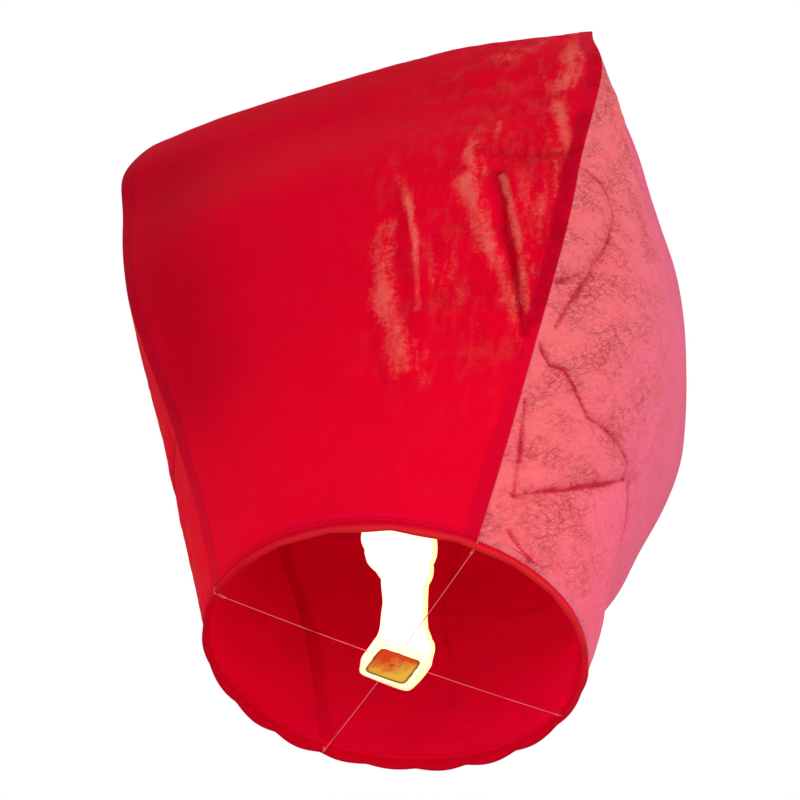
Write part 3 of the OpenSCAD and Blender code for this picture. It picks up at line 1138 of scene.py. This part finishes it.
def makeTie():
    # two strands: a bar over the top sheet, a leg each down the hole, and a twisted tail underneath
    t = tie
    low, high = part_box("cell_tie")
    top = high.z - t["thick"] / 2
    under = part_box("fuel_sheet_1")[0].z - t["thick"] * 0.75
    bar = high.x - t["thick"] / 2
    down = Vector((t["tail"], 0, -t["drop"])).normalized()
    across, side = Vector((0, 1, 0)), down.cross(Vector((0, 1, 0)))
    pieces = []
    for sign in (-1, 1):
        points = [
            Vector((sign * bar, 0, top)),
            Vector((sign * t["leg"] * t["bend"], 0, top)),
            Vector((sign * t["leg"], 0, top)),
            Vector((sign * t["leg"], 0, top - t["leg"])),
            Vector((sign * t["leg"], 0, under + t["leg"])),
            Vector((sign * t["leg"], 0, under)),
        ]
        points = smoothPath(points, 2)
        for i in range(4, t["steps"] + 1):
            u = i / t["steps"]
            a = 2 * math.pi * u * t["tail"] / t["twist"] + (0 if sign < 0 else math.pi)
            spread = t["thick"] * t["strandGap"] + t["flare"] * max(0, u - t["flareFrom"])
            spot = Vector((0, 0, under)) + down * u * t["tail"]
            points.append(spot + spread * (math.cos(a) * across + math.sin(a) * side))
        pieces.append(tubeAlong("tieStrand%d" % (1 if sign < 0 else 2), points, t["thick"]))
    return pieces


tieStrands = makeTie()
print("stage: tie wire")

# Thread round the hoop's lap
thread = {
    "thick": 0.00042,
    "turns": 9,
    "spacing": 1.05,  # from one turn to the next, in thicknesses
    "steps": 28,
    "sides": 8,
    "corner": 5,  # higher for sharper bends round the strip
    "lapTurn": 3.5,  # degrees from the middle of the lap
    "lift": 0.35,  # of its middle over the bamboo, in thicknesses
}


def threadTree(material):
    # winds a thread round the flat bamboo strip, following the hoop's curve
    t = thread
    tree, _, values = newGeometryTree(
        "threadWinding",
        (
            ("Thread", "NodeSocketFloat", t["thick"]),
            ("Turns", "NodeSocketInt", t["turns"]),
            ("Half Depth", "NodeSocketFloat", 0.0013),
            ("Half Height", "NodeSocketFloat", 0.0026),
            ("Hoop Radius", "NodeSocketFloat", 0.18875),
            ("Place", "NodeSocketFloat", 0.0),
        ),
    )
    count = values["Turns"] * t["steps"] + 1
    line = makeNode(tree, "GeometryNodeCurvePrimitiveLine", {"mode": "POINTS"})
    line = makeNode(tree, "GeometryNodeResampleCurve", {"mode": "COUNT"}, {"Curve": line, "Count": count})
    share = makeNode(tree, "GeometryNodeInputIndex") / (count - 1)
    turn = share * values["Turns"] * (2 * math.pi)
    across, up = turn.math("COSINE"), turn.math("SINE")
    power = t["corner"]
    rounding = (across.math("ABSOLUTE") ** power + up.math("ABSOLUTE") ** power) ** (-1 / power)
    radius = across * rounding * values["Half Depth"] + values["Hoop Radius"]
    spread = values["Turns"] * values["Thread"] * t["spacing"] / values["Hoop Radius"]
    along = (share - 0.5) * spread + values["Place"]
    place = makeNode(
        tree,
        "ShaderNodeCombineXYZ",
        {},
        [radius * along.math("COSINE"), radius * along.math("SINE"), up * rounding * values["Half Height"]],
    )
    line = makeNode(tree, "GeometryNodeSetPosition", {}, {"Geometry": line, "Position": place})
    finishGeometry(tree, sweepRound(tree, line, values["Thread"], t["sides"]), material)
    return tree


windings = {}
windTree = threadTree(materials["thread"])
threadLift = thread["thick"] * thread["lift"]
for letter, side in (("a", -1), ("b", 1)):
    windings[letter] = runTree(
        "threadWinding" + letter.upper(),
        windTree,
        {
            "Half Depth": hem["strip"] / 2 + threadLift,
            "Half Height": hoopHalf + threadLift,
            "Hoop Radius": hoopRadius - hem["strip"] / 2,
            "Place": math.radians(180 + side * thread["lapTurn"]),
        },
    )
print("stage: thread")

# Fuel cell
sheets = {
    "hole": 0.0025,
    "squareness": 9,  # higher for sharper corners
    "ragged": 0.012,
    "raggedSize": 260,
    "wave": 0.0003,
    "waveSize": 60,
    "edge": 0.0003,
    "turn": 45,  # degrees, and how far one sheet lies askew of the next
    "skew": 1.5,
    "fill": 0.96,  # share of its CAD thickness, so that a gap shows between sheets
    "rings": 14,
    "sides": 96,
}


def squareness(angle, power):
    # radius of a square with rounded corners, where its flat sides are at 1
    return 1 / (abs(math.cos(angle)) ** power + abs(math.sin(angle)) ** power) ** (1 / power)


def roundedSquare(half, power, count):
    # points round a square with rounded corners, evenly by angle
    angles = [2 * math.pi * i / count for i in range(count)]
    return [Vector((math.cos(a), math.sin(a), 0)) * squareness(a, power) * half for a in angles]


def makeFuelSheet(number, material):
    s = sheets
    node = "fuel_sheet_%d" % number
    low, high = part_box(node)
    thick = high.z - low.z
    turn = math.radians(s["turn"] + s["skew"] * (number % 3 - 1))
    half = (high.x - low.x) / 2 / (abs(math.cos(turn)) + abs(math.sin(turn)))
    edge = roundedSquare(half, s["squareness"], s["sides"])
    spin = Matrix.Rotation(turn, 3, "Z")
    middle = (low.z + high.z) / 2
    points = []
    for ring in range(s["rings"]):
        u = ring / (s["rings"] - 1)
        for i, p in enumerate(edge):
            hub = p.normalized() * s["hole"]
            spot = spin @ hub.lerp(p, u)
            ragged = 1 + s["ragged"] * u * noise.noise(spot * s["raggedSize"] + Vector((number, 0, 0)))
            place = Vector((spot.x * s["waveSize"], spot.y * s["waveSize"], number * 3.1))
            lift = s["wave"] * u * noise.noise(place)
            points.append(Vector((spot.x * ragged, spot.y * ragged, middle + lift)))
    faces = gridFaces(s["rings"], s["sides"], closed=True)
    piece = meshObject("fuelSheet%d" % number, points, faces, material)
    addValues(piece, "rim", np.repeat(np.linspace(0, 1, s["rings"]), s["sides"]))
    solid = piece.modifiers.new("thickness", "SOLIDIFY")
    solid.thickness = thick * s["fill"]
    solid.offset = 0
    bevel = piece.modifiers.new("edge", "BEVEL")
    bevel.width = s["edge"]
    bevel.segments = 2
    bevel.limit_method = "ANGLE"
    return recalc(applyAll(piece))


fuelSheets = {n: makeFuelSheet(n, materials["wax"]) for n in range(1, 9)}
print("stage: fuel cell")

# Flame
flame = {
    "top": 0.27,
    # (height share, how far the middle stands off the axis) along the drift's direction
    "drift": (
        (0, 0.001), (0.12, 0.005), (0.26, 0.003), (0.40, 0.0), (0.52, -0.010), (0.62, -0.014), (1, -0.028)
    ),
    "driftWay": 21,  # degrees from +X
    # (height share, radius): hugs the cell, draws in above it, opens out and closes in a tip
    "shape": ((0, 0.0272), (0.045, 0.0272), (0.075, 0.0262), (0.11, 0.0235), (0.17, 0.0215), (0.27, 0.0205),
              (0.39, 0.0225), (0.45, 0.029), (0.52, 0.037), (0.62, 0.0385), (0.73, 0.036), (0.84, 0.026),
              (0.94, 0.012), (1, 0.002)),
    "rings": 100,
    "sides": 80,
    "lick": 0.13,
    "under": 0.0038,  # how far the burning edge reaches in under the cell
    "clear": 0.0005,
    "roof": 0.004,  # of the inner wall over the cell
    "lip": 0.0006,  # rounding of the inner wall's edges
    "corner": 8,  # higher for sharper corners beside the cell
    "ragged": 0.03,
}


def flameCurve(name, u):
    x, r = np.array(flame[name]).T
    i = np.clip(np.searchsorted(x, u) - 1, 0, len(x) - 2)
    k = (u - x[i]) / (x[i + 1] - x[i])
    return r[i] + (r[i + 1] - r[i]) * k * k * (3 - 2 * k)


def makeFlame(name, material, out, seed):
    f = flame
    lip = f["lip"]
    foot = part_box("fuel_sheet_1")[0].z - f["clear"] - lip - out * 0.3
    low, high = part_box("fuel_sheet_2")
    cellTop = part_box("fuel_sheet_8")[1].z
    cellHalf = (high.x - low.x) / 2 / math.sqrt(2)
    roof = cellTop + f["roof"]
    deck = foot + lip + out * 0.2
    # the inner wall runs from over the cell down its sides, and in under its edge
    inner = [
        (roof, 0.0),
        (roof, 0.5 * cellHalf),
        (cellTop + f["clear"], 0.97 * cellHalf),
        (cellTop, cellHalf + f["clear"]),
        (deck + lip / 2, cellHalf + f["clear"]),
        (deck, cellHalf),
        (deck, cellHalf - f["under"] + lip),
        (foot + lip / 2, cellHalf - f["under"]),
        (foot, cellHalf - f["under"] + lip),
    ]
    points = []
    for z, size in inner:
        for j in range(f["sides"]):
            a = 2 * math.pi * j / f["sides"]
            r = (size + (0.3 * out if size else 0)) * squareness(a, f["corner"])
            ragged = 1 + f["ragged"] * noise.noise(Vector((math.cos(a) * 3, math.sin(a) * 3, seed)))
            r *= ragged if size < cellHalf - 0.001 else 1
            points.append((r * math.cos(a + math.pi / 4), r * math.sin(a + math.pi / 4), z))
    for i in range(f["rings"]):
        u = i / (f["rings"] - 1)
        z = foot + u * (f["top"] - foot)
        square = 1 - float(smoothStep(np.array(u), 0.05, 0.2))
        radius = float(flameCurve("shape", u))
        drift = float(flameCurve("drift", u))
        way = math.radians(f["driftWay"])
        cx, cy = drift * math.cos(way), drift * math.sin(way)
        for j in range(f["sides"]):
            a = 2 * math.pi * j / f["sides"]
            b = a + math.pi / 4
            grow = 1 + (squareness(a, f["corner"]) - 1) * square
            wave = noise.noise(Vector((math.cos(b) * 1.1, math.sin(b) * 1.1, u * 5 + seed)))
            fine = noise.noise(Vector((math.cos(b) * 3, math.sin(b) * 3, u * 14 + seed)))
            lick = 1 + f["lick"] * float(smoothStep(np.array(u), 0.12, 0.5)) * (wave + 0.35 * fine)
            r = radius * grow * lick + out * (1.2 + math.cos(b - way)) * (1 if u < 0.95 else 0.3)
            points.append((cx + r * math.cos(b), cy + r * math.sin(b), z))
    rows = len(inner) + f["rings"]
    sides = f["sides"]
    faces = gridFaces(rows, sides, closed=True)
    faces.append(tuple(range((rows - 1) * sides, rows * sides)))
    return recalc(meshObject(name, points, faces, material), merge=1e-5)


flameCore = makeFlame("flameCore", materials["flameCore"], 0.0, 4.0)
flameVeil = makeFlame("flameVeil", materials["flameVeil"], 0.0022, 4.0)
print("stage: flame")

# The hoop keeps its CAD shape
hoopMesh = frame["nodes"]["bamboo_hoop"].data
hoopMesh.materials.clear()
hoopMesh.materials.append(materials["bamboo"])

# Bodies: each piece hangs under its body, and its CAD stand-in is hidden
collapse = next(j for j in frame["joints"] if j["name"] == "bag_collapse")
travel = collapse["range_m"][1]
squashed = (bagTop - travel - bagFoot) / (bagTop - bagFoot)
for number, side in panelNames.items():
    piece = panels[number]
    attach(piece, "root")
    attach(hems[number], "root")
    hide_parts(side + "_panel")
    paperSlot = "side_paper" if number == 1 else "front_paper"
    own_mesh(piece)
flatCut = {0: (0.64, 1.02, 0.53), 1: (0.45, 1.02, 0.34)}
for number in panelNames:
    width, length, area = flatCut[number % 2]
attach(ridgeSeam, "ridge")
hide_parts("ridge_seam")
for piece, node in ((wireA, "cross_wire_a"), (wireB, "cross_wire_b")):
    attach(piece, "root")
    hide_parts(node)
for number, piece in fuelSheets.items():
    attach(piece, "root")
    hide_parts("fuel_sheet_%d" % number)
for letter, piece in windings.items():
    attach(piece, "root")
    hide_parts("hoop_binding_" + letter)
for piece in tieStrands:
    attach(piece, "root")
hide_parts("cell_tie")
for piece in (flameCore, flameVeil):
    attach(piece, "root")
    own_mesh(piece)

# Floor, light
studio = {"floor": -3.8, "reach": 60, "pale": (0.86, 0.86, 0.87), "sky": 0.74}


def makeFloor():
    s = studio
    material, tree = newMaterial("studioFloor")
    finishSurface(tree, {"Base Color": s["pale"], "Roughness": 0.9})
    r = s["reach"]
    corners = [(x * r, y * r, s["floor"]) for x, y in ((-1, -1), (1, -1), (1, 1), (-1, 1))]
    meshObject("floor", corners, [(0, 1, 2, 3)], material, smooth=False)


def makeWorld():
    # white where the camera sees it, and softer as a light
    world = bpy.data.worlds.new("studio")
    world.use_nodes = True
    tree = world.node_tree
    back = tree.nodes["Background"]
    back.inputs["Color"].default_value = (1, 1, 1, 1)
    seen = makeNode(tree, "ShaderNodeLightPath")
    tree.links.new((seen * (1 - studio["sky"]) + studio["sky"]).socket, back.inputs["Strength"])
    scene.world = world


lamps = {
    "keySide": {"place": (2.6, -0.4, 0.4), "size": 1.6, "power": 40, "colour": (1, 0.98, 0.98)},
    "front": {"place": (0.6, -3.0, -0.6), "size": 2.0, "power": 26, "colour": (1, 1, 1)},
    "left": {"place": (-2.4, -1.9, -0.7), "size": 1.8, "power": 14, "colour": (1, 1, 1)},
}


def makeLamps():
    target = Vector((lean / 2, 0, 0.5))
    for name, look in lamps.items():
        data = bpy.data.lights.new(name, "AREA")
        data.size = look["size"]
        data.energy = look["power"]
        data.color = look["colour"]
        lamp = bpy.data.objects.new(name, data)
        lamp.location = look["place"]
        lamp.rotation_mode = "QUATERNION"
        lamp.rotation_quaternion = (target - lamp.location).to_track_quat("-Z", "Y")
        scene.collection.objects.link(lamp)


makeFloor()
makeWorld()
makeLamps()
scene.view_settings.view_transform = "Standard"
print("stage: studio")
